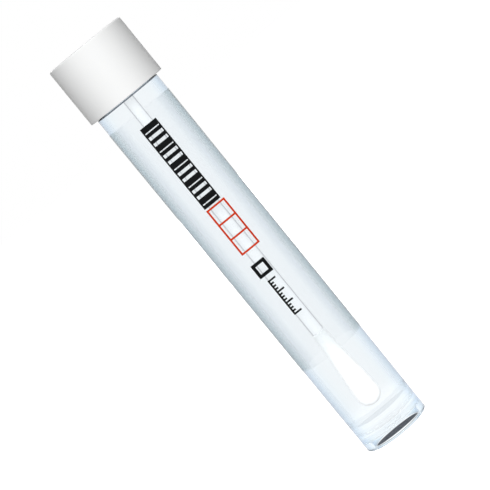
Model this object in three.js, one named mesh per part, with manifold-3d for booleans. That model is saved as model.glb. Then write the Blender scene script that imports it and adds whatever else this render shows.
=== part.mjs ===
// Specimen swab tube: a clear self-standing tube, and a white screw cap that carries the swab.
// Millimetres, +Z up to the cap. The origin is the centre of the rim that the tube stands on.
// The print on the label faces -Y.
import * as THREE from 'three';
import { mergeVertices } from 'three/addons/utils/BufferGeometryUtils.js';
import Module from 'manifold-3d';

const wasm = await Module();
wasm.setup();

// Every turned piece has the same facets, so nested pieces keep their clearance all round.
const FACETS = 48;
const ARC_STEPS = 2;
const MERGE_DISTANCE = 1e-5;

// Tube body. Its outside widens from the base to the shoulder, and the bore follows it.
const BASE_RADIUS = 7.93;
const BODY_TAPER = 0.19;
const SHOULDER_Z = 92.8;
const BODY_WALL = 1.6;
const SHOULDER_ROUND = 0.2;
const FLOOR_THICKNESS = 1.1;
const FLOOR_CORNER = 2;

// Neck, which the cap goes over.
const NECK_WALL = 0.85;
const NECK_HEIGHT = 11.85;
const MOUTH_ROUND = 0.3;

// Standing rim and the recess inside it, with the gate boss under the floor.
const RIM_WALL = 1.8;
const RIM_ROUND = 0.5;
const RIM_INNER_ROUND = 0.5;
const RECESS_DEPTH = 2.4;
const RECESS_CORNER = 0.5;
const GATE_BOSS_TOP_RADIUS = 1.8;
const GATE_BOSS_END_RADIUS = 1.5;
const GATE_BOSS_HEIGHT = 0.45;
const GATE_MARK_RADIUS = 0.8;
const GATE_MARK_DEPTH = 0.25;

// Cap. The thread ridges fill the room between the neck and the skirt.
const THREAD_ROOM = 0.78;
const SKIRT_WALL = 1.45;
const SKIRT_GAP = 0.12;
const SKIRT_LEAD_IN = 0.25;
const CAP_FOOT_BREAK = 0.15;
const CAP_TOP_ROUND = 0.7;
const PANEL_THICKNESS = 1.6;
const LIP_CLEARANCE = 0.2;
const LIP_WALL = 0.95;
const LIP_LENGTH = 2.5;
const LIP_LEAD_IN = 0.3;
const SOCKET_LENGTH = 10.5;
const SOCKET_WALL = 1.15;
const SOCKET_LEAD_IN = 0.3;

// Seal ring between the mouth and the panel, round the lip.
const SEAL_THICKNESS = 0.94;
const SEAL_SEAT = 0.03;
const SEAL_SIDE_CLEARANCE = 0.1;

// Swab. The shaft ends in a thinner core that holds the foam bud.
const SHAFT_TOP_RADIUS = 1.3;
const SHAFT_END_RADIUS = 1.5;
const SHAFT_CLEARANCE = 0.05;
const CORE_RADIUS = 0.9;
const CORE_CLEARANCE = 0.03;
const CORE_END_ROUND = 0.4;
const CORE_COVER = 2.6;
const BUD_LENGTH = 19.9;
const BUD_TOP_RADIUS = 1.56;
const BUD_WIDEST_RADIUS = 2.77;
const BUD_TIP_LENGTH = 2.6;
const BUD_STRAIGHT_LENGTH = 1.3;
const TIP_ABOVE_MEDIUM = 1.7;

// Transport medium on the cavity floor, with its raised edge at the wall.
const MEDIUM_DEPTH = 2.4;
const MENISCUS_RISE = 2.1;
const MENISCUS_WIDTH = 2.4;
const MEDIUM_CLEARANCE = 0.05;

// Film label, wrapped round the body with a narrow gap at the back.
const LABEL_BELOW_SHOULDER = 3.95;
const LABEL_HEIGHT = 65.95;
const LABEL_THICKNESS = 0.06;
const LABEL_CLEARANCE = 0.02;
const LABEL_SEAM_GAP = 1;

// Ink lies on the label. The fields follow each other down from the label's top edge.
const INK_THICKNESS = 0.05;
const INK_CLEARANCE = 0.02;
const BARS_BELOW_LABEL_TOP = 3;
const BARS_LENGTH = 21.75;
const BARS_LEFT = -2.3;
const BARS_RIGHT = 2;
const BARS_RAIL = 0.35;
const BAR_COUNT = 14;
const BAR_WIDTH = 0.85;
const WIDE_BAR_EXTRA = 0.5;
const CELLS_BELOW_BARS = 0.4;
const CELLS_LENGTH = 12.2;
const CELLS_LEFT = -2.3;
const CELLS_RIGHT = 2.55;
const CELL_COUNT = 3;
const CELL_LINE = 0.42;
const SQUARE_BELOW_CELLS = 2.9;
const SQUARE_SIDE = 3.5;
const SQUARE_CENTRE = -0.7;
const SQUARE_LINE = 0.75;
const SCALE_BELOW_SQUARE = 1.2;
const SCALE_LENGTH = 9.3;
const SCALE_LEFT = -1.6;
const SCALE_RIGHT = 0.4;
const SCALE_LINE = 0.4;
const SCALE_STEPS = 12;
const LONG_TICK_EVERY = 4;
const SHORT_TICK = 1;

// Heights and radii that follow from the sizes above.
const shoulderRadius = BASE_RADIUS + BODY_TAPER;
const mouthZ = SHOULDER_Z + NECK_HEIGHT;
const floorZ = RECESS_DEPTH + FLOOR_THICKNESS;
const bodyRadius = (z) => THREE.MathUtils.lerp(BASE_RADIUS, shoulderRadius, z / SHOULDER_Z);
const boreRadius = (z) => bodyRadius(z) - BODY_WALL;
const neckRadius = boreRadius(mouthZ) + NECK_WALL;
const skirtInnerRadius = neckRadius + THREAD_ROOM;
const capRadius = skirtInnerRadius + SKIRT_WALL;
const capFootZ = SHOULDER_Z + SKIRT_GAP;
const sealZ = mouthZ + SEAL_SEAT;
const panelZ = sealZ + SEAL_THICKNESS + SEAL_SEAT;
const capTopZ = panelZ + PANEL_THICKNESS;
const lipRadius = boreRadius(mouthZ) - LIP_CLEARANCE;
const socketRadius = SHAFT_TOP_RADIUS + SHAFT_CLEARANCE;
const bossRadius = socketRadius + SOCKET_WALL;
const mediumZ = floorZ + MEDIUM_DEPTH;
const budTipZ = mediumZ + TIP_ABOVE_MEDIUM;
const budTopZ = budTipZ + BUD_LENGTH;
const labelTopZ = SHOULDER_Z - LABEL_BELOW_SHOULDER;
const labelFootZ = labelTopZ - LABEL_HEIGHT;
const barsTopZ = labelTopZ - BARS_BELOW_LABEL_TOP;
const cellsTopZ = barsTopZ - BARS_LENGTH - CELLS_BELOW_BARS;
const squareTopZ = cellsTopZ - CELLS_LENGTH - SQUARE_BELOW_CELLS;
const scaleTopZ = squareTopZ - SQUARE_SIDE - SCALE_BELOW_SQUARE;

function material(color, roughness, opacity = 1) {
  return new THREE.MeshStandardMaterial({
    color, roughness, metalness: 0, opacity, transparent: opacity < 1,
  });
}

const clearPlastic = material('#dfeaf2', 0.12, 0.3);
const clearFilm = material('#d5dfe6', 0.4, 0.3);
const liquid = material('#dbe3e4', 0.05, 0.5);
const whitePlastic = material('#f4f4f3', 0.4);
const swabPlastic = material('#f2f5f6', 0.35);
const foam = material('#f7f8f7', 0.95);
const softSeal = material('#e4e2dc', 0.8);
const blackInk = material('#16171a', 0.5);
const orangeInk = material('#e0491d', 0.5);

// A profile is drawn as radius across and height up, with the solid on its left.
function turned(profile) {
  const points = profile.getPoints(ARC_STEPS);
  return new THREE.LatheGeometry(points, FACETS).rotateX(Math.PI / 2);
}

function tubeGeometry() {
  const rimInner = BASE_RADIUS - RIM_WALL;
  const bossEndZ = RECESS_DEPTH - GATE_BOSS_HEIGHT;
  const boreFloorRadius = boreRadius(floorZ);
  const mouthBore = boreRadius(mouthZ);
  const p = new THREE.Path();
  p.moveTo(0, bossEndZ + GATE_MARK_DEPTH);
  p.lineTo(GATE_MARK_RADIUS - GATE_MARK_DEPTH, bossEndZ + GATE_MARK_DEPTH);
  p.lineTo(GATE_MARK_RADIUS, bossEndZ);
  p.lineTo(GATE_BOSS_END_RADIUS, bossEndZ);
  p.lineTo(GATE_BOSS_TOP_RADIUS, RECESS_DEPTH);
  p.lineTo(rimInner - RECESS_CORNER, RECESS_DEPTH);
  p.absarc(rimInner - RECESS_CORNER, RECESS_DEPTH - RECESS_CORNER, RECESS_CORNER, Math.PI / 2, 0, true);
  p.absarc(rimInner + RIM_INNER_ROUND, RIM_INNER_ROUND, RIM_INNER_ROUND, Math.PI, Math.PI * 1.5);
  p.absarc(BASE_RADIUS - RIM_ROUND, RIM_ROUND, RIM_ROUND, -Math.PI / 2, 0);
  p.absarc(shoulderRadius - SHOULDER_ROUND, SHOULDER_Z - SHOULDER_ROUND, SHOULDER_ROUND, 0, Math.PI / 2);
  p.lineTo(neckRadius, SHOULDER_Z);
  p.absarc(neckRadius - MOUTH_ROUND, mouthZ - MOUTH_ROUND, MOUTH_ROUND, 0, Math.PI / 2);
  p.lineTo(mouthBore, mouthZ);
  p.absarc(boreFloorRadius - FLOOR_CORNER, floorZ + FLOOR_CORNER, FLOOR_CORNER, 0, -Math.PI / 2, true);
  p.lineTo(0, floorZ);
  return turned(p);
}

function mediumGeometry() {
  const foot = floorZ + MEDIUM_CLEARANCE;
  const corner = FLOOR_CORNER - MEDIUM_CLEARANCE;
  const wall = (z) => boreRadius(z) - MEDIUM_CLEARANCE;
  const rimZ = mediumZ + MENISCUS_RISE;
  const p = new THREE.Path();
  p.moveTo(0, foot);
  p.lineTo(boreRadius(floorZ) - FLOOR_CORNER, foot);
  p.absarc(boreRadius(floorZ) - FLOOR_CORNER, foot + corner, corner, -Math.PI / 2, 0);
  p.lineTo(wall(rimZ), rimZ);
  p.quadraticCurveTo(wall(mediumZ), mediumZ, wall(mediumZ) - MENISCUS_WIDTH, mediumZ);
  p.lineTo(0, mediumZ);
  return turned(p);
}

// One moulding: panel, skirt, locating lip and the socket boss for the shaft.
function capGeometry() {
  const bossEndZ = panelZ - SOCKET_LENGTH;
  const lipEndZ = panelZ - LIP_LENGTH;
  const p = new THREE.Path();
  p.moveTo(0, panelZ);
  p.lineTo(socketRadius, panelZ);
  p.lineTo(socketRadius, bossEndZ + SOCKET_LEAD_IN);
  p.lineTo(socketRadius + SOCKET_LEAD_IN, bossEndZ);
  p.lineTo(bossRadius, bossEndZ);
  p.lineTo(bossRadius, panelZ);
  p.lineTo(lipRadius - LIP_WALL, panelZ);
  p.lineTo(lipRadius - LIP_WALL, lipEndZ);
  p.lineTo(lipRadius - LIP_LEAD_IN, lipEndZ);
  p.lineTo(lipRadius, lipEndZ + LIP_LEAD_IN);
  p.lineTo(lipRadius, panelZ);
  p.lineTo(skirtInnerRadius, panelZ);
  p.lineTo(skirtInnerRadius, capFootZ + SKIRT_LEAD_IN);
  p.lineTo(skirtInnerRadius + SKIRT_LEAD_IN, capFootZ);
  p.lineTo(capRadius - CAP_FOOT_BREAK, capFootZ);
  p.lineTo(capRadius, capFootZ + CAP_FOOT_BREAK);
  p.absarc(capRadius - CAP_TOP_ROUND, capTopZ - CAP_TOP_ROUND, CAP_TOP_ROUND, 0, Math.PI / 2);
  p.lineTo(0, capTopZ);
  return turned(p);
}

// A turned tube wall of four corners, closed on itself.
function ring(innerFoot, outerFoot, footZ, innerTop, outerTop, topZ) {
  const p = new THREE.Path();
  p.moveTo(innerFoot, footZ);
  p.lineTo(outerFoot, footZ);
  p.lineTo(outerTop, topZ);
  p.lineTo(innerTop, topZ);
  p.lineTo(innerFoot, footZ);
  return turned(p);
}

function sealGeometry() {
  const inner = lipRadius + SEAL_SIDE_CLEARANCE;
  const outer = skirtInnerRadius - SEAL_SIDE_CLEARANCE;
  return ring(inner, outer, sealZ, inner, outer, sealZ + SEAL_THICKNESS);
}

function shaftGeometry() {
  const coreEndZ = budTipZ + CORE_COVER;
  const p = new THREE.Path();
  p.moveTo(0, coreEndZ);
  p.lineTo(CORE_RADIUS - CORE_END_ROUND, coreEndZ);
  p.lineTo(CORE_RADIUS, coreEndZ + CORE_END_ROUND);
  p.lineTo(CORE_RADIUS, budTopZ + CORE_CLEARANCE);
  p.lineTo(SHAFT_END_RADIUS, budTopZ + CORE_CLEARANCE);
  p.lineTo(SHAFT_TOP_RADIUS, panelZ - SOCKET_LENGTH);
  p.lineTo(SHAFT_TOP_RADIUS, panelZ - SHAFT_CLEARANCE);
  p.lineTo(0, panelZ - SHAFT_CLEARANCE);
  return turned(p);
}

// Blunt tip, short straight belly, then a slim taper up to the shaft.
function budGeometry() {
  const holeRadius = CORE_RADIUS + CORE_CLEARANCE;
  const bellyZ = budTipZ + BUD_TIP_LENGTH;
  const taperZ = bellyZ + BUD_STRAIGHT_LENGTH;
  const taper = budTopZ - taperZ;
  const swell = BUD_WIDEST_RADIUS - BUD_TOP_RADIUS;
  const p = new THREE.Path();
  p.moveTo(0, budTipZ);
  p.absellipse(0, bellyZ, BUD_WIDEST_RADIUS, BUD_TIP_LENGTH, -Math.PI / 2, 0);
  p.lineTo(BUD_WIDEST_RADIUS, taperZ);
  p.bezierCurveTo(
    BUD_TOP_RADIUS + swell * 0.6, taperZ + taper * 0.3,
    BUD_TOP_RADIUS + swell * 0.2, taperZ + taper * 0.75,
    BUD_TOP_RADIUS, budTopZ,
  );
  p.lineTo(holeRadius, budTopZ);
  p.lineTo(holeRadius, budTipZ + CORE_COVER - CORE_CLEARANCE);
  p.lineTo(0, budTipZ + CORE_COVER - CORE_CLEARANCE);
  return turned(p);
}

function toSolid(geometry) {
  const bare = geometry.clone();
  bare.deleteAttribute('normal');
  bare.deleteAttribute('uv');
  const merged = mergeVertices(bare, MERGE_DISTANCE);
  return new wasm.Manifold(new wasm.Mesh({
    numProp: 3,
    vertProperties: merged.attributes.position.array,
    triVerts: Uint32Array.from(merged.index.array),
  }));
}

function toGeometry(solid) {
  const { vertProperties, triVerts } = solid.getMesh();
  const geometry = new THREE.BufferGeometry();
  geometry.setAttribute('position', new THREE.BufferAttribute(vertProperties, 3));
  geometry.setIndex(new THREE.BufferAttribute(triVerts, 1));
  geometry.computeVertexNormals();
  return geometry;
}

// A block that cuts through the front or the back of the wall, between two heights.
function block(left, right, near, far, footZ, topZ) {
  const geometry = new THREE.BoxGeometry(right - left, far - near, topZ - footZ);
  geometry.translate((left + right) / 2, (near + far) / 2, (footZ + topZ) / 2);
  return toSolid(geometry);
}

const frontBlock = (left, right, footZ, topZ) => block(left, right, -2 * shoulderRadius, 0, footZ, topZ);
const backBlock = (left, right, footZ, topZ) => block(left, right, 0, 2 * shoulderRadius, footZ, topZ);

// A layer of the wrap that follows the body's taper, at a distance outside it.
function wrap(distance, thickness, footZ, topZ) {
  const foot = bodyRadius(footZ) + distance;
  const top = bodyRadius(topZ) + distance;
  return toSolid(ring(foot, foot + thickness, footZ, top, top + thickness, topZ));
}

function labelGeometry() {
  const seam = backBlock(-LABEL_SEAM_GAP / 2, LABEL_SEAM_GAP / 2, labelFootZ - 1, labelTopZ + 1);
  return toGeometry(wrap(LABEL_CLEARANCE, LABEL_THICKNESS, labelFootZ, labelTopZ).subtract(seam));
}

// An ink field on the label's front, from left to right and down from its top, with windows cut out.
function inkGeometry(left, right, topZ, length, windows) {
  const distance = LABEL_CLEARANCE + LABEL_THICKNESS + INK_CLEARANCE;
  const layer = wrap(distance, INK_THICKNESS, topZ - length, topZ);
  let field = layer.intersect(frontBlock(left, right, topZ - length - 1, topZ + 1));
  for (const [windowLeft, windowRight, start, end] of windows) {
    field = field.subtract(frontBlock(windowLeft, windowRight, topZ - end, topZ - start));
  }
  return toGeometry(field);
}

// Cross bars of two widths between a pair of rails.
function barsGeometry() {
  const pitch = (BARS_LENGTH - BAR_WIDTH) / (BAR_COUNT - 1);
  const windows = [];
  for (let i = 0; i < BAR_COUNT - 1; i += 1) {
    const extra = i % 3 === 0 ? WIDE_BAR_EXTRA : 0;
    windows.push([BARS_LEFT + BARS_RAIL, BARS_RIGHT - BARS_RAIL, i * pitch + BAR_WIDTH + extra, (i + 1) * pitch]);
  }
  return inkGeometry(BARS_LEFT, BARS_RIGHT, barsTopZ, BARS_LENGTH, windows);
}

// A row of empty write-on cells.
function cellsGeometry() {
  const pitch = (CELLS_LENGTH - CELL_LINE) / CELL_COUNT;
  const windows = [];
  for (let i = 0; i < CELL_COUNT; i += 1) {
    windows.push([CELLS_LEFT + CELL_LINE, CELLS_RIGHT - CELL_LINE, i * pitch + CELL_LINE, (i + 1) * pitch]);
  }
  return inkGeometry(CELLS_LEFT, CELLS_RIGHT, cellsTopZ, CELLS_LENGTH, windows);
}

function squareGeometry() {
  const left = SQUARE_CENTRE - SQUARE_SIDE / 2;
  const right = SQUARE_CENTRE + SQUARE_SIDE / 2;
  const hole = [left + SQUARE_LINE, right - SQUARE_LINE, SQUARE_LINE, SQUARE_SIDE - SQUARE_LINE];
  return inkGeometry(left, right, squareTopZ, SQUARE_SIDE, [hole]);
}

// A base line with short and long ticks.
function scaleGeometry() {
  const pitch = (SCALE_LENGTH - SCALE_LINE) / SCALE_STEPS;
  const windows = [];
  for (let i = 0; i < SCALE_STEPS; i += 1) {
    windows.push([SCALE_LEFT + SCALE_LINE, SCALE_RIGHT + 1, i * pitch + SCALE_LINE, (i + 1) * pitch]);
    if (i % LONG_TICK_EVERY !== 0) {
      windows.push([SCALE_LEFT + SHORT_TICK, SCALE_RIGHT + 1, i * pitch, i * pitch + SCALE_LINE]);
    }
  }
  return inkGeometry(SCALE_LEFT, SCALE_RIGHT, scaleTopZ, SCALE_LENGTH, windows);
}

const object = new THREE.Group();

function add(name, geometry, finish, carrier = object) {
  const mesh = new THREE.Mesh(geometry, finish);
  mesh.name = name;
  carrier.add(mesh);
}

add('tube', tubeGeometry(), clearPlastic);
add('transport_medium', mediumGeometry(), liquid);
add('label', labelGeometry(), clearFilm);
add('print_bar_field', barsGeometry(), blackInk);
add('print_cell_frame', cellsGeometry(), orangeInk);
add('print_square', squareGeometry(), blackInk);
add('print_scale', scaleGeometry(), blackInk);

const closure = new THREE.Group();
object.add(closure);
add('seal_ring', sealGeometry(), softSeal, closure);
add('cap', capGeometry(), whitePlastic, closure);
add('swab_shaft', shaftGeometry(), swabPlastic, closure);
add('swab_bud', budGeometry(), foam, closure);

export default object;
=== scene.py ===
"""Specimen swab tube: a clear tube that stands by itself, with a foam swab on its screw cap.

Laid out as an add-on. Run as a script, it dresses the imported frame, lights it and sets the camera.
Lengths are in metres. The tube stands on z = 0 round the Z axis, and its print faces -Y.
"""

import math

import bmesh
import bpy
from bpy.props import FloatProperty, FloatVectorProperty, PointerProperty
from mathutils import Matrix, Vector


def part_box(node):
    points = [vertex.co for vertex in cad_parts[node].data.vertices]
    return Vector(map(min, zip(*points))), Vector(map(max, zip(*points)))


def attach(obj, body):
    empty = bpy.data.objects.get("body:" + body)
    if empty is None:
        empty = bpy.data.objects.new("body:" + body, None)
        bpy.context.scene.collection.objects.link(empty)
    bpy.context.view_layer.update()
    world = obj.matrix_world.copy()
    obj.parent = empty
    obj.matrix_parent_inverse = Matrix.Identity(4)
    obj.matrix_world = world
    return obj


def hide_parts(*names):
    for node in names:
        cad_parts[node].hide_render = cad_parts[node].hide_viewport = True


bl_info = {
    "name": "Specimen swab tube",
    "version": (1, 0, 0),
    "blender": (4, 5, 0),
    "location": "View3D > Sidebar > Swab Tube",
    "description": "Builds a clear specimen tube with its screw cap, swab, label and stage",
    "category": "Object",
}

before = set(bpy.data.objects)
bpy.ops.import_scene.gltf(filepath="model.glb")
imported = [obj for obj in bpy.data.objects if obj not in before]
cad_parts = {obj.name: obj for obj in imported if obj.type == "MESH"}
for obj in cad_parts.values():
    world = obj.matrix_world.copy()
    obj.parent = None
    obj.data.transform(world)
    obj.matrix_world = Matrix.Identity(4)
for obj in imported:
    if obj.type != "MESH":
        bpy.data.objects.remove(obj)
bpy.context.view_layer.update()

MM = 0.001
TURN = 2 * math.pi
ROUND_STEPS = 160
WELD = 1e-6
SMOOTH_BELOW = math.radians(32)
PLASTIC_IOR = 1.49
LIQUID_IOR = 1.2
WHITE = (1, 1, 1)
LAMPLIGHT_IN_PLASTIC = (0.97, 0.98, 0.985)
LAMP_AIM = (0, 0, 55 * MM)

_, tube_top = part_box("tube")
cap_foot, cap_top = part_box("cap")
seal_foot, seal_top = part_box("seal_ring")
shaft_foot, shaft_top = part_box("swab_shaft")
bud_foot, bud_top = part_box("swab_bud")
_, medium_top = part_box("transport_medium")
label_foot, label_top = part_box("label")


def length(name, description, default):
    """A size that a user may change."""
    return FloatProperty(
        name=name,
        description=description,
        default=default,
        min=0,
        precision=5,
        subtype="DISTANCE",
        unit="LENGTH",
    )


def colour(name, description, default):
    """A colour that a user may change."""
    return FloatVectorProperty(
        name=name,
        description=description,
        default=(*default, 1),
        size=4,
        min=0,
        max=1,
        subtype="COLOR",
    )


class TubeSizes(bpy.types.PropertyGroup):
    """The clear tube, from its standing rim to its mouth."""

    shoulder_radius: length(
        "Shoulder radius", "Outside of the body under the cap", tube_top.x
    )
    base_radius: length("Base radius", "Outside of the standing rim", 7.93 * MM)
    shoulder_height: length("Shoulder height", "Where the body ends", 92.8 * MM)
    shoulder_round: length("Shoulder rounding", "Outer edge under the cap", 0.2 * MM)
    # The shaded step is painted shade: a near-black tint on the plastic under the cap.
    shaded_step: length("Shaded step", "Height of the dark edge", 0.3 * MM)
    mouth_height: length("Mouth height", "Where the neck ends", tube_top.z)
    wall: length("Body wall", "Wall of the body", 1.6 * MM)
    neck_wall: length("Neck wall", "Wall of the neck", 0.85 * MM)
    floor_height: length("Floor height", "Inside floor of the bore", 3.5 * MM)
    floor_corner: length("Floor corner", "Rounding of the bore's foot", 2 * MM)
    rim_wall: length("Rim wall", "Wall of the standing rim", 1.8 * MM)
    rim_round: length("Rim rounding", "Both edges of the rim's foot", 0.5 * MM)
    recess_height: length("Recess height", "Ceiling of the recess", 2.4 * MM)
    recess_corner: length("Recess corner", "Rounding under the ceiling", 0.5 * MM)
    gate_radius: length("Gate boss radius", "Foot of the gate boss", 1.8 * MM)
    gate_boss: length("Gate boss", "How far the gate boss hangs down", 0.45 * MM)
    gate_mark: length("Gate mark", "Depth of the gate's dimple", 0.25 * MM)

    def outside(self, height):
        """Radius of the tapered body's outside at a height."""
        taper = (self.shoulder_radius - self.base_radius) / self.shoulder_height
        return self.base_radius + taper * height

    def bore(self, height):
        """Radius of the bore at a height."""
        return self.outside(height) - self.wall

    def neck_radius(self):
        """Radius of the neck's outside."""
        return self.bore(self.mouth_height) + self.neck_wall

    def step_height(self):
        """Where the dark edge under the cap begins."""
        return self.shoulder_height - self.shaded_step


class ThreadSizes(bpy.types.PropertyGroup):
    """The ridges of the neck and the cap, which pass each other with room to spare."""

    pitch: length("Pitch", "Rise of one turn", 3.2 * MM)
    neck_ridge: length("Neck ridge", "How far the neck's ridge stands out", 0.42 * MM)
    cap_ridge: length("Cap ridge", "How far the cap's ridge stands in", 0.28 * MM)
    neck_foot: length("Neck ridge foot", "Height over the tube's shoulder", 3.2 * MM)
    cap_foot: length("Cap ridge foot", "Height over the skirt's edge", 1.3 * MM)
    ridge_root: length("Ridge root", "Width of a ridge at its foot", 1.15 * MM)
    ridge_crest: length("Ridge crest", "Width of a ridge at its crest", 0.5 * MM)
    turns: FloatProperty(
        name="Turns", description="Length of each ridge in turns", default=1.5, min=0.5
    )


class CapSizes(bpy.types.PropertyGroup):
    """The screw cap, one moulding with its lip and its socket."""

    radius: length("Radius", "Outside of the skirt", cap_top.x)
    skirt_wall: length("Skirt wall", "Wall of the skirt", 1.45 * MM)
    panel: length("Panel", "Thickness of the top", 1.6 * MM)
    top_round: length("Top rounding", "Rounding of the top edge", 0.4 * MM)
    lip_radius: length("Lip radius", "Outside of the locating lip", 6.344 * MM)
    lip_wall: length("Lip wall", "Wall of the lip", 0.95 * MM)
    lip_length: length("Lip length", "How far the lip reaches down", 2.5 * MM)
    socket_radius: length("Socket radius", "Hole that holds the shaft", 1.35 * MM)
    socket_wall: length("Socket wall", "Wall round the shaft", 1.15 * MM)
    socket_length: length("Socket length", "How far the socket reaches down", 10.5 * MM)

    def skirt_bore(self):
        """Radius inside the skirt."""
        return self.radius - self.skirt_wall

    def ceiling(self):
        """Height of the panel's underside."""
        return cap_top.z - self.panel

    def socket_end(self):
        """Height of the socket's open end."""
        return self.ceiling() - self.socket_length


class SwabSizes(bpy.types.PropertyGroup):
    """The swab: a tapered shaft with a thinner core in its foam bud."""

    top_radius: length("Shaft top", "Radius in the socket", 1.3 * MM)
    end_radius: length("Shaft end", "Radius above the bud", 1.5 * MM)
    core_radius: length("Core radius", "Radius inside the bud", 0.9 * MM)
    bud_neck: length("Bud neck", "Radius of the bud at the shaft", 1.56 * MM)
    tip_length: length("Tip length", "Height of the blunt tip", 2.6 * MM)
    belly_length: length("Belly length", "Height of the straight belly", 1.3 * MM)
    foam_room: length("Foam room", "Room between the core and the foam", 0.03 * MM)
    unevenness: length("Unevenness", "Waviness of the foam", 0.09 * MM)


class WrapSizes(bpy.types.PropertyGroup):
    """The film label round the body."""

    clearance: length("Clearance", "Room under the film", 0.02 * MM)
    thickness: length("Thickness", "Thickness of the film", 0.06 * MM)
    seam_gap: length("Seam gap", "Gap between the ends at the back", 1 * MM)


class MediumSizes(bpy.types.PropertyGroup):
    """The transport medium on the tube's floor."""

    level: length("Level", "Height of the flat surface", 5.9 * MM)
    meniscus: length("Meniscus width", "How far the raised edge reaches in", 2.4 * MM)
    bite: length("Bite", "How far the liquid reaches into the wall", 0.02 * MM)


class Finishes(bpy.types.PropertyGroup):
    """Colours of the finishes."""

    cap: colour("Cap", "Moulded white of the cap", (0.905, 0.912, 0.91))
    shaft: colour("Shaft", "Moulded white of the shaft", (0.93, 0.955, 0.97))
    foam: colour("Foam", "Foam of the bud", (0.89, 0.9, 0.9))
    seal: colour("Seal", "Soft sealing ring", (0.78, 0.76, 0.7))
    film: colour("Film", "Haze of the label film", (0.9, 0.94, 0.97))
    black: colour("Black ink", "Dark print", (0.005, 0.0055, 0.006))
    orange: colour("Orange ink", "Coloured print", (0.6, 0.045, 0.01))
    ground: colour("Floor", "What the floor throws back on matt surfaces", (0.1, 0.1, 0.1))
    # Painted shadow: this dark ground colour inside the recess stands in for the shade under the
    # tube's base.
    recess_shadow: colour("Contact", "Ground inside the recess", (0.026, 0.034, 0.05))


class StageSizes(bpy.types.PropertyGroup):
    """Camera, floor and lamps."""

    camera_place: FloatVectorProperty(
        name="Camera place",
        description="Where the camera stands",
        default=(-0.38 * MM, -0.5, 0.0995),
        subtype="TRANSLATION",
        unit="LENGTH",
    )
    camera_aim: FloatVectorProperty(
        name="Camera aim",
        description="The point that the camera looks at",
        default=(-0.38 * MM, 0, 0.052196),
        subtype="TRANSLATION",
        unit="LENGTH",
    )
    camera_roll: FloatProperty(
        name="Camera roll",
        description="Tilt of the camera about its line of sight",
        default=math.radians(39.2),
        subtype="ANGLE",
        unit="ROTATION",
    )
    lens: FloatProperty(
        name="Lens", description="Focal length in millimetres", default=171.1, min=10
    )
    floor_size: length("Floor size", "Width of the floor", 6)
    ambient: FloatProperty(
        name="Ambient", description="World light on matt surfaces", default=0, min=0
    )
    front_power: FloatProperty(
        name="Front lamp", description="Power of the front lamp", default=8.95, min=0
    )
    side_power: FloatProperty(
        name="Side lamps", description="Power of each side lamp", default=1.25, min=0
    )
    back_power: FloatProperty(
        name="Back lamp", description="Power of the back lamp", default=4.5, min=0
    )
    top_power: FloatProperty(
        name="Top lamp", description="Power of the top lamp", default=2, min=0
    )


class SwabTubeSettings(bpy.types.PropertyGroup):
    """Everything that a user would change."""

    tube: PointerProperty(type=TubeSizes)
    thread: PointerProperty(type=ThreadSizes)
    cap: PointerProperty(type=CapSizes)
    swab: PointerProperty(type=SwabSizes)
    wrap: PointerProperty(type=WrapSizes)
    medium: PointerProperty(type=MediumSizes)
    finish: PointerProperty(type=Finishes)
    stage: PointerProperty(type=StageSizes)


# ---------------------------------------------------------------- modelling


def clear_selection():
    """Goes to object mode with nothing selected."""
    if bpy.context.object is not None and bpy.context.object.mode != "OBJECT":
        bpy.ops.object.mode_set(mode="OBJECT")
    bpy.ops.object.select_all(action="DESELECT")


def select_corner(piece, radius, height):
    """Selects the one vertex of the section nearest a corner."""
    bpy.ops.mesh.select_all(action="DESELECT")
    section = bmesh.from_edit_mesh(piece.data)
    corner = Vector((radius, 0, height))
    near = min(section.verts, key=lambda v: (v.co - corner).length)
    near.select = True
    section.select_flush_mode()
    bmesh.update_edit_mesh(piece.data)


def rounding_segments(rounding):
    """Gives a larger rounding more segments."""
    if rounding < 0.2 * MM:
        return 4
    return 8 if rounding < MM else 16


def draw_section(name, corners, closed=False):
    """Draws a section in the XZ plane, from corner to corner, and leaves it in edit mode.

    A corner is (radius, height) or (radius, height, rounding).
    """
    clear_selection()
    bpy.ops.mesh.primitive_plane_add(size=MM)
    piece = bpy.context.object
    piece.name = piece.data.name = name
    bpy.ops.object.mode_set(mode="EDIT")
    bpy.ops.mesh.select_all(action="SELECT")
    bpy.ops.mesh.merge(type="CENTER")
    radius, height = corners[0][:2]
    bpy.ops.transform.translate(value=(radius, 0, height))
    for corner in corners[1:] + (corners[:1] if closed else []):
        step = (corner[0] - radius, 0, corner[1] - height)
        bpy.ops.mesh.extrude_region_move(TRANSFORM_OT_translate={"value": step})
        radius, height = corner[:2]
    bpy.ops.mesh.select_all(action="SELECT")
    bpy.ops.mesh.remove_doubles(threshold=WELD)
    for radius, height, *rounding in corners:
        if rounding:
            select_corner(piece, radius, height)
            bpy.ops.mesh.bevel(
                offset=rounding[0],
                offset_type="OFFSET",
                segments=rounding_segments(rounding[0]),
                affect="VERTICES",
            )
    bpy.ops.mesh.select_all(action="SELECT")
    return piece


def curve(corners, steps):
    """Points along the smooth curve that these corners pull, from the first to the last."""
    last = len(corners) - 1
    points = []
    for i in range(steps + 1):
        a, b = i / steps, 1 - i / steps
        pulls = [math.comb(last, k) * a**k * b ** (last - k) for k in range(last + 1)]
        radius = sum(pull * corner[0] for pull, corner in zip(pulls, corners))
        height = sum(pull * corner[1] for pull, corner in zip(pulls, corners))
        points.append((radius, height))
    return points


def apply_modifier(piece, kind, **values):
    """Adds a modifier with these values and applies it."""
    modifier = piece.modifiers.new(kind.title(), kind)
    for name, value in values.items():
        setattr(modifier, name, value)
    bpy.ops.object.modifier_apply(modifier=modifier.name)


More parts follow.
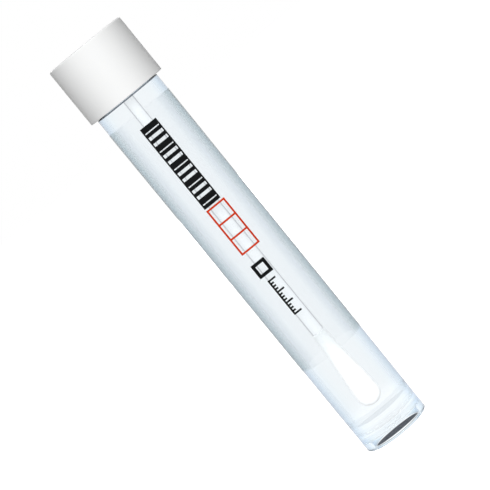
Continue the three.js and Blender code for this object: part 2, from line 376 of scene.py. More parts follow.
def finish_mesh(piece):
    """Closes open ends, merges doubles, turns the faces outwards and shades them smooth."""
    bpy.ops.mesh.select_all(action="SELECT")
    bpy.ops.mesh.remove_doubles(threshold=WELD)
    bpy.ops.mesh.fill_holes(sides=0)
    bpy.ops.mesh.normals_make_consistent(inside=False)
    bpy.ops.object.mode_set(mode="OBJECT")
    bpy.ops.object.shade_smooth_by_angle(angle=SMOOTH_BELOW)
    apply_modifier(piece, "WEIGHTED_NORMAL", mode="FACE_AREA", weight=100, keep_sharp=True)
    return piece


def turned_piece(name, corners, closed=False, steps=ROUND_STEPS, sweep=TURN):
    """Spins a section round the Z axis."""
    piece = draw_section(name, corners, closed)
    bpy.ops.mesh.spin(steps=steps, angle=sweep, center=(0, 0, 0), axis=(0, 0, 1))
    return finish_mesh(piece)


def thread_ridge(name, wall, crest, foot, sizes):
    """A right-handed ridge on a cylinder wall, which fades into it at both ends.

    Its root lies a little way inside the wall, so that no gap shows under it.
    """
    root, top = sizes.ridge_root / 2, sizes.ridge_crest / 2
    depth, rounding = 0.12 * MM, 0.08 * MM
    sunk = wall + depth if crest < wall else wall - depth
    corners = [
        (sunk, foot - root),
        (wall, foot - root),
        (crest, foot - top, rounding),
        (crest, foot + top, rounding),
        (wall, foot + root),
        (sunk, foot + root),
    ]
    piece = draw_section(name, corners, closed=True)
    bpy.ops.object.mode_set(mode="OBJECT")
    sweep, rise = TURN * sizes.turns, sizes.pitch * sizes.turns
    steps = int(ROUND_STEPS * sizes.turns)
    apply_modifier(
        piece,
        "SCREW",
        axis="Z",
        angle=sweep,
        screw_offset=rise,
        iterations=1,
        steps=steps,
        render_steps=steps,
        use_merge_vertices=False,
    )
    end = sweep + root / sizes.pitch * TURN * 2
    fade, sunk_share = TURN / 12, 0.35
    for vertex in piece.data.vertices:
        radius = math.hypot(vertex.co.x, vertex.co.y)
        along = (vertex.co.z - foot + root) / rise * sweep
        share = max(0, min(1, min(along, end - along) / fade - sunk_share))
        if abs(radius - sunk) > abs(wall - sunk):
            target = sunk + (radius - sunk) * share
            vertex.co.x *= target / radius
            vertex.co.y *= target / radius
    bpy.ops.object.mode_set(mode="EDIT")
    return finish_mesh(piece)


def dress(piece, material, slot, body, *nodes):
    """Gives a finished piece its material, its body and the CAD nodes that it stands for."""
    piece.data.materials.clear()
    piece.data.materials.append(material)
    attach(piece, body)
    if nodes:
        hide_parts(*nodes)


def add_finish(piece, material):
    """Gives a piece one more material, and returns the number that its faces take."""
    piece.data.materials.append(material)
    return len(piece.data.materials) - 1


# ---------------------------------------------------------------- materials


class Nodes:
    """A node tree in the making, of a material or of the world."""

    def __init__(self, owner):
        owner.use_nodes = True
        self.tree = owner.node_tree
        self.tree.nodes.clear()

    def put(self, value, target):
        """Gives a socket a value, or links another node's output to it."""
        if isinstance(value, bpy.types.NodeSocket):
            self.tree.links.new(value, target)
        else:
            target.default_value = value

    def fill(self, node, inputs):
        """Puts each value in the input of its name. Underscores stand for spaces."""
        for name, value in inputs.items():
            self.put(value, node.inputs[name.replace("_", " ")])

    def add(self, kind, **inputs):
        """A new node with these inputs."""
        node = self.tree.nodes.new(kind)
        self.fill(node, inputs)
        return node

    def work_out(self, operation, *values, kind="ShaderNodeMath", result="Value"):
        """The result of a sum on these values."""
        node = self.add(kind)
        node.operation = operation
        for value, target in zip(values, node.inputs):
            self.put(value, target)
        return node.outputs[result]

    def times(self, first, second):
        """The product of two colours."""
        return self.work_out(
            "MULTIPLY", first, second, kind="ShaderNodeVectorMath", result="Vector"
        )

    def reach(self, point):
        """How far a point is from the origin."""
        return self.work_out("LENGTH", point, kind="ShaderNodeVectorMath")

    def between(self, source, low, high, start=0, end=1):
        """A value moved from start...end to low...high, and held there past both ends."""
        moved = self.add(
            "ShaderNodeMapRange",
            Value=source,
            From_Min=start,
            From_Max=end,
            To_Min=low,
            To_Max=high,
        )
        return moved.outputs["Result"]

    def ramp(self, source, stops):
        """Colours along a value from 0 to 1."""
        ramp = self.add("ShaderNodeValToRGB", Fac=source)
        points = ramp.color_ramp.elements
        while len(points) < len(stops):
            points.new(1)
        for point, (place, shade) in zip(points, stops):
            point.position = place
            point.color = (*shade[:3], 1)
        return ramp.outputs["Color"]

    def rays(self, kind):
        """What is known of the ray that finds the surface."""
        return self.add("ShaderNodeLightPath").outputs[kind]

    def off_clear_surface(self):
        """1 on a ray that comes off gloss or through glass, and 0 on any other."""
        return self.work_out(
            "MAXIMUM", self.rays("Is Glossy Ray"), self.rays("Is Transmission Ray")
        )

    def glow(self, strength, tint):
        """A shader that gives off light."""
        light = self.add("ShaderNodeEmission", Strength=strength, Color=tint)
        return light.outputs["Emission"]

    def transparent(self, tint):
        """A shader that lets light straight through, tinted."""
        return self.add("ShaderNodeBsdfTransparent", Color=tint).outputs["BSDF"]

    def mix(self, share, first, second):
        """The first shader, with this share of the second."""
        mix = self.add("ShaderNodeMixShader", Fac=share)
        self.put(first, mix.inputs[1])
        self.put(second, mix.inputs[2])
        return mix.outputs["Shader"]


class Recipe(Nodes):
    """A material in the making, with one Principled shader."""

    def __init__(self, name):
        self.material = bpy.data.materials.new(name)
        super().__init__(self.material)
        self.output = self.add("ShaderNodeOutputMaterial")
        self.shader = self.add("ShaderNodeBsdfPrincipled")
        self.body = self.shader.outputs["BSDF"]
        self.place = self.add("ShaderNodeTexCoord").outputs["Object"]
        self.show(self.body)

    def show(self, shader):
        """Puts a shader on the surface, in place of what was there."""
        self.put(shader, self.output.inputs["Surface"])

    def set(self, **inputs):
        """Sets the Principled shader's own sockets, to values or patterns."""
        self.fill(self.shader, inputs)

    def noise(self, size, detail=2, stretch=(1, 1, 1)):
        """Noise whose lumps are about this long, and longer by the stretch along each axis."""
        mapping = self.add(
            "ShaderNodeMapping", Vector=self.place, Scale=[1 / size / s for s in stretch]
        )
        noise = self.add(
            "ShaderNodeTexNoise", Vector=mapping.outputs["Vector"], Scale=1, Detail=detail
        )
        return noise.outputs["Fac"]

    def cells(self, size):
        """Foam cells of about this size."""
        cells = self.add("ShaderNodeTexVoronoi", Vector=self.place, Scale=1 / size)
        return cells.outputs["Distance"]

    def height(self):
        """Height over the ground."""
        return self.add("ShaderNodeSeparateXYZ", Vector=self.place).outputs["Z"]

    def slant(self):
        """0 where a surface faces the eye and 1 where it slants away."""
        return self.add("ShaderNodeLayerWeight", Blend=0.5).outputs["Facing"]

    def bump(self, source, depth, below=None):
        """Relief of this depth, over any relief that is already there."""
        bump = self.add("ShaderNodeBump", Height=source, Strength=1, Distance=depth)
        if below is not None:
            self.put(below, bump.inputs["Normal"])
        self.set(Normal=bump.outputs["Normal"])
        return bump.outputs["Normal"]

    def behind_plastic(self):
        """1 where the surface is seen through clear plastic, and 0 where it is bare."""
        return self.work_out("GREATER_THAN", self.rays("Transmission Depth"), 0.5)

    def lets_light_through(self, tint=WHITE, faintness=0, bends=None):
        """Lamps and soft light pass straight through, so that what is inside is lit.

        Faintness is the share of sight that goes straight through too, where no
        more than this number of clear surfaces has bent it before.
        """
        lamps = self.work_out(
            "MAXIMUM", self.rays("Is Shadow Ray"), self.rays("Is Diffuse Ray")
        )
        sight = faintness
        if bends is not None:
            depth = self.rays("Transmission Depth")
            unbent = self.work_out("LESS_THAN", depth, bends + 0.5)
            sight = self.work_out("MULTIPLY", unbent, faintness)
        share = self.work_out("MAXIMUM", lamps, sight)
        self.show(self.mix(share, self.body, self.transparent((*tint, 1))))


def clear_recipe(name, ior, stops, roughness=0):
    """A clear material whose tint follows the slant of its surface."""
    recipe = Recipe(name)
    tint = recipe.ramp(recipe.slant(), stops)
    recipe.set(Transmission_Weight=1, IOR=ior, Roughness=roughness, Base_Color=tint)
    return recipe


def clear_plastic():
    """Clear moulded plastic, tinted blue-grey and darker where its surface slants away, as painted
    shade at its outline.
    """
    stops = [
        (0.12, (0.878, 0.923, 0.951)),
        (0.244, (0.835, 0.913, 0.951)),
        (0.323, (0.781, 0.876, 0.956)),
        (0.424, (0.673, 0.785, 0.897)),
        (0.562, (0.468, 0.607, 0.758)),
        (0.726, (0.31, 0.407, 0.557)),
        (0.85, (0.15, 0.22, 0.33)),
        (1, (0.05, 0.08, 0.12)),
    ]
    recipe = clear_recipe("clear_moulded_plastic", PLASTIC_IOR, stops)
    recipe.lets_light_through(LAMPLIGHT_IN_PLASTIC)
    return recipe.material


def bore_plastic(name="clear_bore_plastic", ior=PLASTIC_IOR, faintness=0, bends=None):
    """The bore's side of the clear plastic, almost free of tint but for a little painted shade where
    it slants away.
    """
    stops = [(0.7, WHITE), (1, (0.95, 0.965, 0.975))]
    recipe = clear_recipe(name, ior, stops)
    recipe.lets_light_through((0.98, 0.985, 0.99), faintness, bends)
    return recipe.material


def edge_plastic():
    """The plastic of the narrow step under the cap, tinted near black as painted shade for the cap's
    shadow on it.
    """
    stops = [(0, (0.05, 0.06, 0.075)), (1, (0.02, 0.024, 0.03))]
    recipe = clear_recipe("shaded_edge_plastic", PLASTIC_IOR, stops, roughness=0.1)
    recipe.lets_light_through(LAMPLIGHT_IN_PLASTIC)
    return recipe.material


def transport_liquid(name, painted_shade_tint=WHITE):
    """Clear watery medium, darkened by a tint that is painted shade where one is given. The wet wall
    does the bending.
    """
    stops = [(0.6, painted_shade_tint), (1, [c * 0.96 for c in painted_shade_tint])]
    recipe = clear_recipe(name, LIQUID_IOR, stops)
    recipe.lets_light_through(painted_shade_tint, faintness=1)
    return recipe.material


def film_edge():
    """The cut edge of the film, which hardly shows."""
    recipe = Recipe("clear_film_edge")
    fine = recipe.noise(0.2 * MM)
    tint = recipe.ramp(fine, [(0, (0.97, 0.975, 0.98)), (1, WHITE)])
    recipe.show(recipe.transparent(tint))
    return recipe.material


def label_film(finish):
    """Clear film with a faint haze, denser where it is looked through aslant."""
    recipe = Recipe("clear_label_film")
    mottle = recipe.between(recipe.noise(2 * MM, detail=3), 0.33, 0.45)
    recipe.set(Base_Color=finish.film, Roughness=mottle)
    tint = recipe.ramp(
        recipe.slant(),
        [
            (0, WHITE),
            (0.15, (0.996, 0.998, 1)),
            (0.24, (0.974, 0.977, 0.982)),
            (0.302, (0.965, 0.968, 0.972)),
            (0.4, (0.955, 0.957, 0.954)),
            (0.52, (0.942, 0.947, 0.938)),
            (0.71, (0.935, 0.94, 0.93)),
            (1, (0.85, 0.86, 0.86)),
        ],
    )
    haze = 0.02
    recipe.show(recipe.mix(haze, recipe.transparent(tint), recipe.body))
    return recipe.material


def print_ink(name, shade):
    """Printed ink with a slight mottle."""
    recipe = Recipe(name)
    mottle = recipe.noise(0.3 * MM, detail=4)
    dark = shade[:3]
    light = [min(1, c * 1.5 + 0.006) for c in dark]
    recipe.set(
        Base_Color=recipe.ramp(mottle, [(0.55, dark), (0.8, light)]),
        Roughness=recipe.between(mottle, 0.5, 0.75),
        Specular_IOR_Level=0.08,
    )
    recipe.bump(mottle, 0.002 * MM)
    return recipe.material


def moulded_white(name, shade, grain, roughness, glow=0):
    """White moulding with a fine spark grain.

    Behind clear plastic, glow is the share of its brightness that is painted light: the moulding
    glows though it is no lamp, with the glow painted darker toward its outline.
    """
    recipe = Recipe(name)
    flow = recipe.noise(6 * MM, stretch=(1, 1, 2.5))
    deep = [c * 0.985 for c in shade[:3]]
    tone = recipe.ramp(flow, [(0.3, deep), (0.7, shade[:3])])
    fine = recipe.noise(grain)
    recipe.set(
        Base_Color=tone,
        Roughness=recipe.between(fine, roughness - 0.05, roughness + 0.07),
        IOR=PLASTIC_IOR,
        Specular_IOR_Level=0.35,
    )
    recipe.bump(fine, 0.012 * MM, recipe.bump(flow, 0.01 * MM))
    if glow:
        # Painted light: behind clear plastic the moulding glows, and the glow is dimmed toward its
        # outline as painted shade.
        edge = recipe.ramp(recipe.slant(), [(0.36, WHITE), (0.6, (0.4, 0.4, 0.42))])
        behind, lift = recipe.behind_plastic(), 1.15
        recipe.set(
            Base_Color=recipe.times(tone, recipe.between(behind, 1, 1 - glow)),
            Emission_Color=recipe.times(tone, edge),
            Emission_Strength=recipe.work_out("MULTIPLY", behind, glow * lift),
        )
    return recipe.material


def bud_foam(finish):
    """Fine open-celled foam with a soft nap.

    Behind clear plastic it glows with painted light, and painted shade darkens and cools its thin
    end toward the shaft.
    """
    recipe = Recipe("swab_foam")
    foam = finish.foam[:3]
    low = [c * 0.93 for c in foam]
    pores = recipe.cells(0.16 * MM)
    tone = recipe.ramp(pores, [(0.55, foam), (1, low)])
    behind = recipe.behind_plastic()
    bare = recipe.work_out("SUBTRACT", 1, behind)
    # Painted light and shade: behind clear plastic the foam glows, darker and cooler toward its thin
    # end.
    thin_end, glow = 11 * MM, 0.77
    thinning = recipe.between(recipe.height(), 0, 1, bud_top.z - thin_end, bud_top.z)
    fade = recipe.ramp(thinning, [(0, WHITE), (1, (0.95, 0.99, 1))])
    lit = recipe.work_out("MAXIMUM", recipe.between(thinning, 1, 0.45), bare)
    recipe.set(
        Base_Color=recipe.times(tone, lit),
        Roughness=1,
        Specular_IOR_Level=0.1,
        Sheen_Weight=0.8,
        Sheen_Roughness=0.6,
        Subsurface_Weight=1,
        Subsurface_Radius=(1, 1, 1),
        Subsurface_Scale=0.5 * MM,
        Emission_Color=recipe.times(tone, fade),
        Emission_Strength=recipe.work_out("MULTIPLY", behind, glow),
    )
    lumps = recipe.noise(0.7 * MM, detail=3)
    recipe.bump(pores, 0.03 * MM, recipe.bump(lumps, 0.06 * MM))
    return recipe.material


def seal_foam(finish):
    """Closed-cell sealing ring."""
    recipe = Recipe("soft_seal_ring")
    pores = recipe.cells(0.25 * MM)
    low = [c * 0.85 for c in finish.seal[:3]]
    tone = recipe.ramp(pores, [(0, finish.seal[:3]), (0.8, low)])
    recipe.set(Base_Color=tone, Roughness=0.8, Specular_IOR_Level=0.3)
    recipe.bump(pores, 0.02 * MM)
    return recipe.material


def studio_floor(finish):
    """White to the eye but for shadows. A painted shadow lies on the ground inside the tube's rim,
    and near the tube the floor is painted brighter than white where gloss and glass show it.
    """
    recipe = Recipe("studio_floor")
    middle, half_size = (0, 1.35 * MM, 0), (6.35 * MM, 3.45 * MM, 1)
    patch = recipe.add(
        "ShaderNodeMapping", Vector=recipe.place, Location=middle, Scale=half_size
    )
    patch.vector_type = "TEXTURE"
    # Painted shadow: a dark patch inside the tube's rim stands for the shade under its base.
    ring = recipe.between(recipe.reach(patch.outputs["Vector"]), 0, 1, end=2)
    shade = recipe.ramp(ring, [(0.45, finish.recess_shadow[:3]), (0.52, WHITE)])
    recipe.set(Base_Color=shade, Roughness=0.9, Specular_IOR_Level=0)
    away = recipe.reach(recipe.place)
    lift = recipe.glow(recipe.between(away, 0.95, 1.02, start=0.08, end=0.4), shade)
    seen = recipe.add("ShaderNodeAddShader")
    recipe.put(recipe.body, seen.inputs[0])
    recipe.put(lift, seen.inputs[1])
    dull = recipe.add("ShaderNodeBsdfDiffuse", Color=finish.ground).outputs["BSDF"]
    # Painted light: near the tube the floor glows brighter than white in gloss and through glass.
    clear = recipe.glow(recipe.between(away, 1.13, 1, start=0.02, end=0.06), shade)
    unseen = recipe.mix(recipe.off_clear_surface(), dull, clear)
    camera = recipe.rays("Is Camera Ray")
    recipe.show(recipe.mix(camera, unseen, seen.outputs["Shader"]))
    return recipe.material


# ---------------------------------------------------------------- operators


class BuildTube(bpy.types.Operator):
    """Builds the clear tube with its neck, its floor and its standing rim"""

    bl_idname = "swab_tube.build_tube"
    bl_label = "Clear tube"
    bl_options = {"REGISTER", "UNDO"}

    def finish_sides(self, piece, s):
        """Gives the bore, the wet wall, the recess and the shaded step their own finishes."""
        bore = add_finish(piece, bore_plastic())
        recess = add_finish(piece, bore_plastic("clear_base_plastic", faintness=0.85))
        shaded = add_finish(piece, edge_plastic())
        bend = PLASTIC_IOR / LIQUID_IOR
        wet_wall = bore_plastic("clear_wet_plastic", bend, faintness=0.9, bends=1)
        wet = add_finish(piece, wet_wall)
        bore_foot = s.floor_height - 0.1 * MM
        rim = s.base_radius - s.rim_wall - 0.01 * MM
        ceiling = s.recess_height - s.recess_corner - s.gate_boss
        past_neck = s.neck_radius() + 0.3 * MM
        for face in piece.data.polygons:
            middle = face.center
            radius = math.hypot(middle.x, middle.y)
            inside = radius < s.bore(middle.z) + 0.05 * MM
            if inside and middle.z > bore_foot:
                face.material_index = bore if middle.z > medium_top.z else wet
            elif radius < rim and middle.z > ceiling:
                face.material_index = recess
            elif radius > past_neck and middle.z > s.step_height():
                face.material_index = shaded

    def execute(self, context):
        s = context.scene.swab_tube.tube
        mouth, neck = s.bore(s.mouth_height), s.neck_radius()
        rim = s.base_radius - s.rim_wall
        boss = s.recess_height - s.gate_boss
        dimple, dimple_edge, boss_edge = 0.5 * MM, 0.8 * MM, s.gate_radius - 0.3 * MM
        corners = [
            (0, boss + s.gate_mark),
            (dimple, boss + s.gate_mark, 0.08 * MM),
            (dimple_edge, boss, 0.08 * MM),
            (boss_edge, boss, 0.1 * MM),
            (s.gate_radius, s.recess_height, 0.15 * MM),
            (rim, s.recess_height, s.recess_corner),
            (rim, 0, s.rim_round),
            (s.base_radius, 0, s.rim_round),
            (s.outside(s.step_height()), s.step_height()),
            (s.shoulder_radius, s.shoulder_height, s.shoulder_round),
            (neck, s.shoulder_height, 0.25 * MM),
            (neck, s.mouth_height, 0.3 * MM),
            (mouth, s.mouth_height, 0.15 * MM),
            (s.bore(medium_top.z), medium_top.z),
            (s.bore(s.floor_height), s.floor_height, s.floor_corner),
            (0, s.floor_height),
        ]
        piece = turned_piece("clear_tube", corners)
        dress(piece, clear_plastic(), "clear_plastic", "tube_body", "tube")
        self.finish_sides(piece, s)
        return {"FINISHED"}


class BuildNeckThread(bpy.types.Operator):
    """Builds the ridge on the tube's neck"""

    bl_idname = "swab_tube.build_neck_thread"
    bl_label = "Neck thread"
    bl_options = {"REGISTER", "UNDO"}

    def execute(self, context):
        s, thread = context.scene.swab_tube.tube, context.scene.swab_tube.thread
        neck, foot = s.neck_radius(), s.shoulder_height + thread.neck_foot
        piece = thread_ridge(
            "neck_thread", neck, neck + thread.neck_ridge, foot, thread
        )
        clear = bpy.data.materials["clear_bore_plastic"]
        dress(piece, clear, "clear_plastic", "tube_body")
        return {"FINISHED"}


class BuildMedium(bpy.types.Operator):
    """Builds the pool of transport medium with its raised edge"""

    bl_idname = "swab_tube.build_medium"
    bl_label = "Transport medium"
    bl_options = {"REGISTER", "UNDO"}

    def execute(self, context):
        s, tube = context.scene.swab_tube.medium, context.scene.swab_tube.tube

        def wall(height):
            return tube.bore(height) + s.bite

        foot, rim = tube.floor_height - s.bite, medium_top.z
        meniscus = [
            (wall(rim), rim),
            (wall(s.level), s.level),
            (wall(s.level) - s.meniscus, s.level),
        ]
        corners = [
            (0, foot),
            (wall(tube.floor_height), foot, tube.floor_corner),
            *curve(meniscus, steps=14),
            (0, s.level),
        ]
        piece = turned_piece("medium_pool", corners)
        wetted = transport_liquid("liquid_at_wall")
        dress(piece, wetted, "medium", "tube_body", "transport_medium")
        # Painted shade: the liquid surface's grey tint stands in for the shade seen in it.
        painted_shade_tint, facing_up = (0.875, 0.885, 0.895), 0.999
        surface = add_finish(piece, transport_liquid("liquid_surface", painted_shade_tint))
        for face in piece.data.polygons:
            if face.normal.z > facing_up:
                face.material_index = surface
        return {"FINISHED"}


class BuildWrap(bpy.types.Operator):
    """Builds the film label, open along its seam at the back"""

    bl_idname = "swab_tube.build_wrap"
    bl_label = "Film label"
    bl_options = {"REGISTER", "UNDO"}

    def execute(self, context):
        s, tube = context.scene.swab_tube.wrap, context.scene.swab_tube.tube
        foot = tube.outside(label_foot.z) + s.clearance
        top = tube.outside(label_top.z) + s.clearance
        edge = 0.03 * MM
        corners = [
            (foot, label_foot.z, edge),
            (foot + s.thickness, label_foot.z, edge),
            (top + s.thickness, label_top.z, edge),
            (top, label_top.z, edge),
        ]
        gap = s.seam_gap / top
        piece = turned_piece("wrap_film", corners, closed=True, sweep=TURN - gap)
        bpy.ops.object.mode_set(mode="EDIT")
        bpy.ops.mesh.select_all(action="SELECT")
        bpy.ops.transform.rotate(
            value=-(TURN / 4 + gap / 2), orient_axis="Z", center_override=(0, 0, 0)
        )
        bpy.ops.object.mode_set(mode="OBJECT")
        finish = context.scene.swab_tube.finish
        dress(piece, label_film(finish), "clear_film", "tube_body", "label")
        cut_edge, facing_end = add_finish(piece, film_edge()), 0.3
        for face in piece.data.polygons:
            if abs(face.normal.z) > facing_end:
                face.material_index = cut_edge
        return {"FINISHED"}


class DressPrint(bpy.types.Operator):
    """Gives the printed fields their ink"""

    bl_idname = "swab_tube.dress_print"
    bl_label = "Print"
    bl_options = {"REGISTER", "UNDO"}

    def execute(self, context):
        finish = context.scene.swab_tube.finish
        black = print_ink("black_print_ink", finish.black)
        orange = print_ink("orange_print_ink", finish.orange)
        for name, ink, slot in (
            ("print_bar_field", black, "black_ink"),
            ("print_cell_frame", orange, "orange_ink"),
            ("print_square", black, "black_ink"),
            ("print_scale", black, "black_ink"),
        ):
            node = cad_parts[name]
            node.data.materials.clear()
            node.data.materials.append(ink)
        return {"FINISHED"}


class BuildCap(bpy.types.Operator):
    """Builds the screw cap with its skirt, lip and socket"""

    bl_idname = "swab_tube.build_cap"
    bl_label = "Screw cap"
    bl_options = {"REGISTER", "UNDO"}

    def execute(self, context):
        s = context.scene.swab_tube.cap
        panel, socket, skirt = s.ceiling(), s.socket_end(), s.skirt_bore()
        boss = s.socket_radius + s.socket_wall
        lip, lip_bore = panel - s.lip_length, s.lip_radius - s.lip_wall
        gate, gate_edge, gate_floor = 1 * MM, 1.3 * MM, cap_top.z - 0.2 * MM
        tight = 0.03 * MM
        corners = [
            (0, panel),
            (s.socket_radius, panel),
            (s.socket_radius, socket, 0.3 * MM),
            (boss, socket, 0.25 * MM),
            (boss, panel, 0.4 * MM),
            (lip_bore, panel, 0.3 * MM),
            (lip_bore, lip, 0.2 * MM),
            (s.lip_radius, lip, 0.3 * MM),
            (s.lip_radius, panel, tight),
            (skirt, panel, tight),
            (skirt, cap_foot.z, 0.25 * MM),
            (s.radius, cap_foot.z, 0.15 * MM),
            (s.radius, cap_top.z, s.top_round),
            (gate_edge, cap_top.z, 0.15 * MM),
            (gate, gate_floor, 0.12 * MM),
            (0, gate_floor),
        ]
        piece = turned_piece("screw_cap", corners)
        finish = context.scene.swab_tube.finish
        white = moulded_white("cap_white_plastic", finish.cap, 0.14 * MM, 0.42)
        dress(piece, white, "white_plastic", "closure", "cap")
        return {"FINISHED"}


class BuildCapThread(bpy.types.Operator):
    """Builds the ridge inside the cap's skirt"""

    bl_idname = "swab_tube.build_cap_thread"
    bl_label = "Cap thread"
    bl_options = {"REGISTER", "UNDO"}

    def execute(self, context):
        s, thread = context.scene.swab_tube.cap, context.scene.swab_tube.thread
        skirt, foot = s.skirt_bore(), cap_foot.z + thread.cap_foot
        piece = thread_ridge(
            "cap_thread", skirt, skirt - thread.cap_ridge, foot, thread
        )
        white = bpy.data.materials["cap_white_plastic"]
        dress(piece, white, "white_plastic", "closure")
        return {"FINISHED"}


class BuildSeal(bpy.types.Operator):
    """Builds the soft ring under the cap's panel"""

    bl_idname = "swab_tube.build_seal"
    bl_label = "Seal ring"
    bl_options = {"REGISTER", "UNDO"}

    def execute(self, context):
        clearance, edge = 0.1 * MM, 0.15 * MM
        inner = context.scene.swab_tube.cap.lip_radius + clearance
        corners = [
            (inner, seal_foot.z, edge),
            (seal_top.x, seal_foot.z, edge),
            (seal_top.x, seal_top.z, edge),
            (inner, seal_top.z, edge),
        ]
        piece = turned_piece("seal_washer", corners, closed=True)
        finish = context.scene.swab_tube.finish
        dress(piece, seal_foam(finish), "soft_seal", "seal", "seal_ring")
        return {"FINISHED"}


class BuildShaft(bpy.types.Operator):
    """Builds the swab's shaft and its core"""

    bl_idname = "swab_tube.build_shaft"
    bl_label = "Swab shaft"
    bl_options = {"REGISTER", "UNDO"}

    def execute(self, context):
        s, cap = context.scene.swab_tube.swab, context.scene.swab_tube.cap
        step = bud_top.z + s.foam_room
        corners = [
            (0, shaft_foot.z),
            (s.core_radius, shaft_foot.z, 0.4 * MM),
            (s.core_radius, step, 0.1 * MM),
            (s.end_radius, step, 0.25 * MM),
            (s.top_radius, cap.socket_end()),
            (s.top_radius, shaft_top.z, 0.15 * MM),
            (0, shaft_top.z),
        ]
        piece = turned_piece("swab_stick", corners, steps=72)
        finish = context.scene.swab_tube.finish
        white = moulded_white(
            "shaft_white_plastic", finish.shaft, 0.1 * MM, 0.36, glow=0.7
        )
        dress(piece, white, "swab_plastic", "closure", "swab_shaft")
        return {"FINISHED"}


class BuildBud(bpy.types.Operator):
    """Builds the foam bud: a blunt tip, a straight belly and a slim taper"""

    bl_idname = "swab_tube.build_bud"
    bl_label = "Foam bud"
    bl_options = {"REGISTER", "UNDO"}

    def roughen(self, piece, hole, unevenness):
        """Makes the foam's outside uneven, and leaves its hole as it is."""
        near_core, tip = hole + 0.2 * MM, bud_foot.z + 0.6 * MM
        outside = piece.vertex_groups.new(name="outside")
        outer = [
            v.index
            for v in piece.data.vertices
            if math.hypot(v.co.x, v.co.y) > near_core or v.co.z < tip
        ]
        outside.add(outer, 1, "REPLACE")
        lumps = bpy.data.textures.new("foam_unevenness", "CLOUDS")
        lumps.noise_scale = 1.1 * MM
        lumps.noise_depth = 3
        apply_modifier(
            piece,
            "DISPLACE",
            texture=lumps,
            texture_coords="LOCAL",
            vertex_group="outside",
            strength=unevenness,
            mid_level=0.5,
        )

    def execute(self, context):
        s = context.scene.swab_tube.swab
        hole, hole_end = s.core_radius + s.foam_room, shaft_foot.z - s.foam_room
        widest = bud_top.x - s.unevenness / 2
        belly = bud_foot.z + s.tip_length
        taper_foot = belly + s.belly_length
        taper = bud_top.z - taper_foot
        swell = widest - s.bud_neck
        corners = [(0, bud_foot.z)]
        steps = 16
        for i in range(1, steps + 1):
            a = i / steps * TURN / 4
            corners.append(
                (widest * math.sin(a), belly - s.tip_length * math.cos(a))
            )
        corners += [(widest, belly + s.belly_length * k / 4) for k in (1, 2, 3)]
        slope = [
            (widest, taper_foot),
            (s.bud_neck + swell * 0.6, taper_foot + taper * 0.3),
            (s.bud_neck + swell * 0.2, taper_foot + taper * 0.75),
            (s.bud_neck, bud_top.z),
        ]
        corners += curve(slope, steps=40)
        corners[-1] = (s.bud_neck, bud_top.z, 0.2 * MM)
        corners += [
            (hole, bud_top.z, 0.1 * MM),
            (hole, hole_end),
            (0, hole_end),
        ]
        piece = turned_piece("foam_bud", corners, steps=120)
        self.roughen(piece, hole, s.unevenness)
        finish = context.scene.swab_tube.finish
        dress(piece, bud_foam(finish), "foam", "closure", "swab_bud")
        return {"FINISHED"}


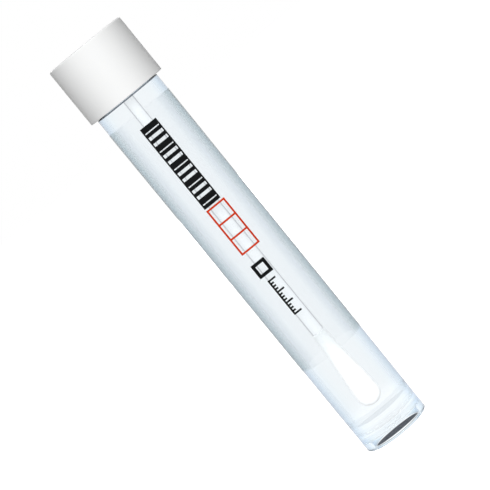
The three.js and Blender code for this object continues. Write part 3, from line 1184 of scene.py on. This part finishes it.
class BuildStage(bpy.types.Operator):
    """Sets the floor, the white surroundings, the lamps and the camera"""

    bl_idname = "swab_tube.build_stage"
    bl_label = "Stage"
    bl_options = {"REGISTER", "UNDO"}

    def floor(self, size, finish):
        """A wide plane under the tube."""
        clear_selection()
        bpy.ops.mesh.primitive_plane_add(size=size)
        floor = bpy.context.object
        floor.name = "studio_floor"
        floor.data.materials.append(studio_floor(finish))

    def world(self, scene, ambient):
        """White to the eye, in gloss and through glass, and softer on matt surfaces."""
        scene.world = bpy.data.worlds.new("white_studio")
        nodes = Nodes(scene.world)
        seen = nodes.work_out(
            "MAXIMUM", nodes.rays("Is Camera Ray"), nodes.off_clear_surface()
        )
        background = nodes.add(
            "ShaderNodeBackground",
            Color=(*WHITE, 1),
            Strength=nodes.between(seen, ambient, 1),
        )
        nodes.add("ShaderNodeOutputWorld", Surface=background.outputs["Background"])

    def lamp(self, name, place, size, power):
        """A square soft lamp aimed at the tube, which only matt surfaces show."""
        clear_selection()
        bpy.ops.object.light_add(type="AREA", location=place)
        lamp = bpy.context.object
        lamp.name = name
        lamp.data.size = size
        lamp.data.energy = power
        away = Vector(place) - Vector(LAMP_AIM)
        lamp.rotation_euler = away.to_track_quat("Z", "Y").to_euler()
        lamp.visible_glossy = False
        lamp.visible_camera = False
        lamp.visible_transmission = False

    def camera(self, scene, stage):
        """The camera, rolled so that the tube leans and its base comes to the lower right."""
        clear_selection()
        bpy.ops.object.camera_add()
        camera = bpy.context.object
        camera.name = "product_camera"
        camera.data.lens = stage.lens
        camera.data.clip_start = 0.01
        place, aim = Vector(stage.camera_place), Vector(stage.camera_aim)
        back = (place - aim).normalized()
        right = Vector((0, 0, 1)).cross(back).normalized()
        up = back.cross(right)
        c, s = math.cos(stage.camera_roll), math.sin(stage.camera_roll)
        axes = (right * c - up * s, right * s + up * c, back)
        camera.matrix_world = Matrix.Translation(place) @ Matrix(axes).transposed().to_4x4()
        scene.camera = camera

    def execute(self, context):
        scene, settings = context.scene, context.scene.swab_tube
        stage = settings.stage
        self.floor(stage.floor_size, settings.finish)
        self.world(scene, stage.ambient)
        for name, place, size, power in (
            ("front_lamp", (0, -0.9, 0.28), 0.4, stage.front_power),
            ("left_lamp", (-0.72, 0.6, 0.25), 0.4, stage.side_power),
            ("right_lamp", (0.72, 0.6, 0.25), 0.4, stage.side_power),
            ("back_lamp", (0, 0.9, 0.28), 0.4, stage.back_power),
            ("top_lamp", (0, 0, 1), 0.3, stage.top_power),
        ):
            self.lamp(name, place, size, power)
        self.camera(scene, stage)
        scene.view_settings.view_transform = "Standard"
        return {"FINISHED"}


class SwabTubePanel(bpy.types.Panel):
    """Lists the builders and their sizes"""

    bl_idname = "VIEW3D_PT_swab_tube"
    bl_label = "Specimen swab tube"
    bl_space_type = "VIEW_3D"
    bl_region_type = "UI"
    bl_category = "Swab Tube"

    def draw(self, context):
        settings = context.scene.swab_tube
        for operator in BUILDERS:
            self.layout.operator(operator.bl_idname)
        for name in SwabTubeSettings.__annotations__:
            group = getattr(settings, name)
            box = self.layout.box()
            box.label(text=name.title())
            for size in type(group).__annotations__:
                box.prop(group, size)


GROUPS = (
    TubeSizes,
    ThreadSizes,
    CapSizes,
    SwabSizes,
    WrapSizes,
    MediumSizes,
    Finishes,
    StageSizes,
    SwabTubeSettings,
)
BUILDERS = (
    BuildTube,
    BuildNeckThread,
    BuildMedium,
    BuildWrap,
    DressPrint,
    BuildCap,
    BuildCapThread,
    BuildSeal,
    BuildShaft,
    BuildBud,
    BuildStage,
)


def register():
    """Registers the classes and puts the settings on the scene."""
    for cls in (*GROUPS, *BUILDERS, SwabTubePanel):
        bpy.utils.register_class(cls)
    bpy.types.Scene.swab_tube = PointerProperty(type=SwabTubeSettings)


def unregister():
    """Takes the settings and the classes away again."""
    del bpy.types.Scene.swab_tube
    for cls in reversed((*GROUPS, *BUILDERS, SwabTubePanel)):
        bpy.utils.unregister_class(cls)


def main():
    """Builds everything in order."""
    register()
    bpy.ops.swab_tube.build_tube()
    bpy.ops.swab_tube.build_neck_thread()
    bpy.ops.swab_tube.build_medium()
    bpy.ops.swab_tube.build_wrap()
    bpy.ops.swab_tube.dress_print()
    bpy.ops.swab_tube.build_cap()
    bpy.ops.swab_tube.build_cap_thread()
    bpy.ops.swab_tube.build_seal()
    bpy.ops.swab_tube.build_shaft()
    bpy.ops.swab_tube.build_bud()
    bpy.ops.swab_tube.build_stage()


if __name__ == "__main__":
    main()
